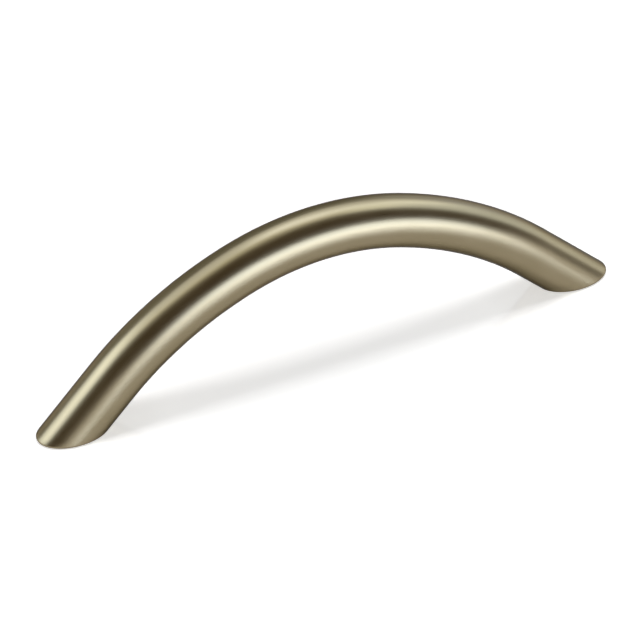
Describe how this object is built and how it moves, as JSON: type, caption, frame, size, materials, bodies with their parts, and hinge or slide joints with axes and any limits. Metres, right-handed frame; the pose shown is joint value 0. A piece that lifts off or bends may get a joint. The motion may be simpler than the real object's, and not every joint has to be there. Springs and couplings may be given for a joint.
{
  "type": "arch pull",
  "caption": "Low arched pull for a drawer or cabinet door: a bent round bar with slant-cut flat feet, tapped underneath for screws from behind.",
  "frame": {"origin": "on the mounting plane, midway between the two screw holes", "axes": "+X along the pull from foot to foot, +Z out of the mounting plane towards the top of the arch"},
  "size_m": [0.1152, 0.01, 0.032],
  "materials": {
    "satin_champagne_bronze": "fine satin plating in a warm champagne bronze, over steel, brushed along the bar"
  },
  "bodies": {
    "root": {"arch_pull": "satin_champagne_bronze"}
  },
  "joints": []
}
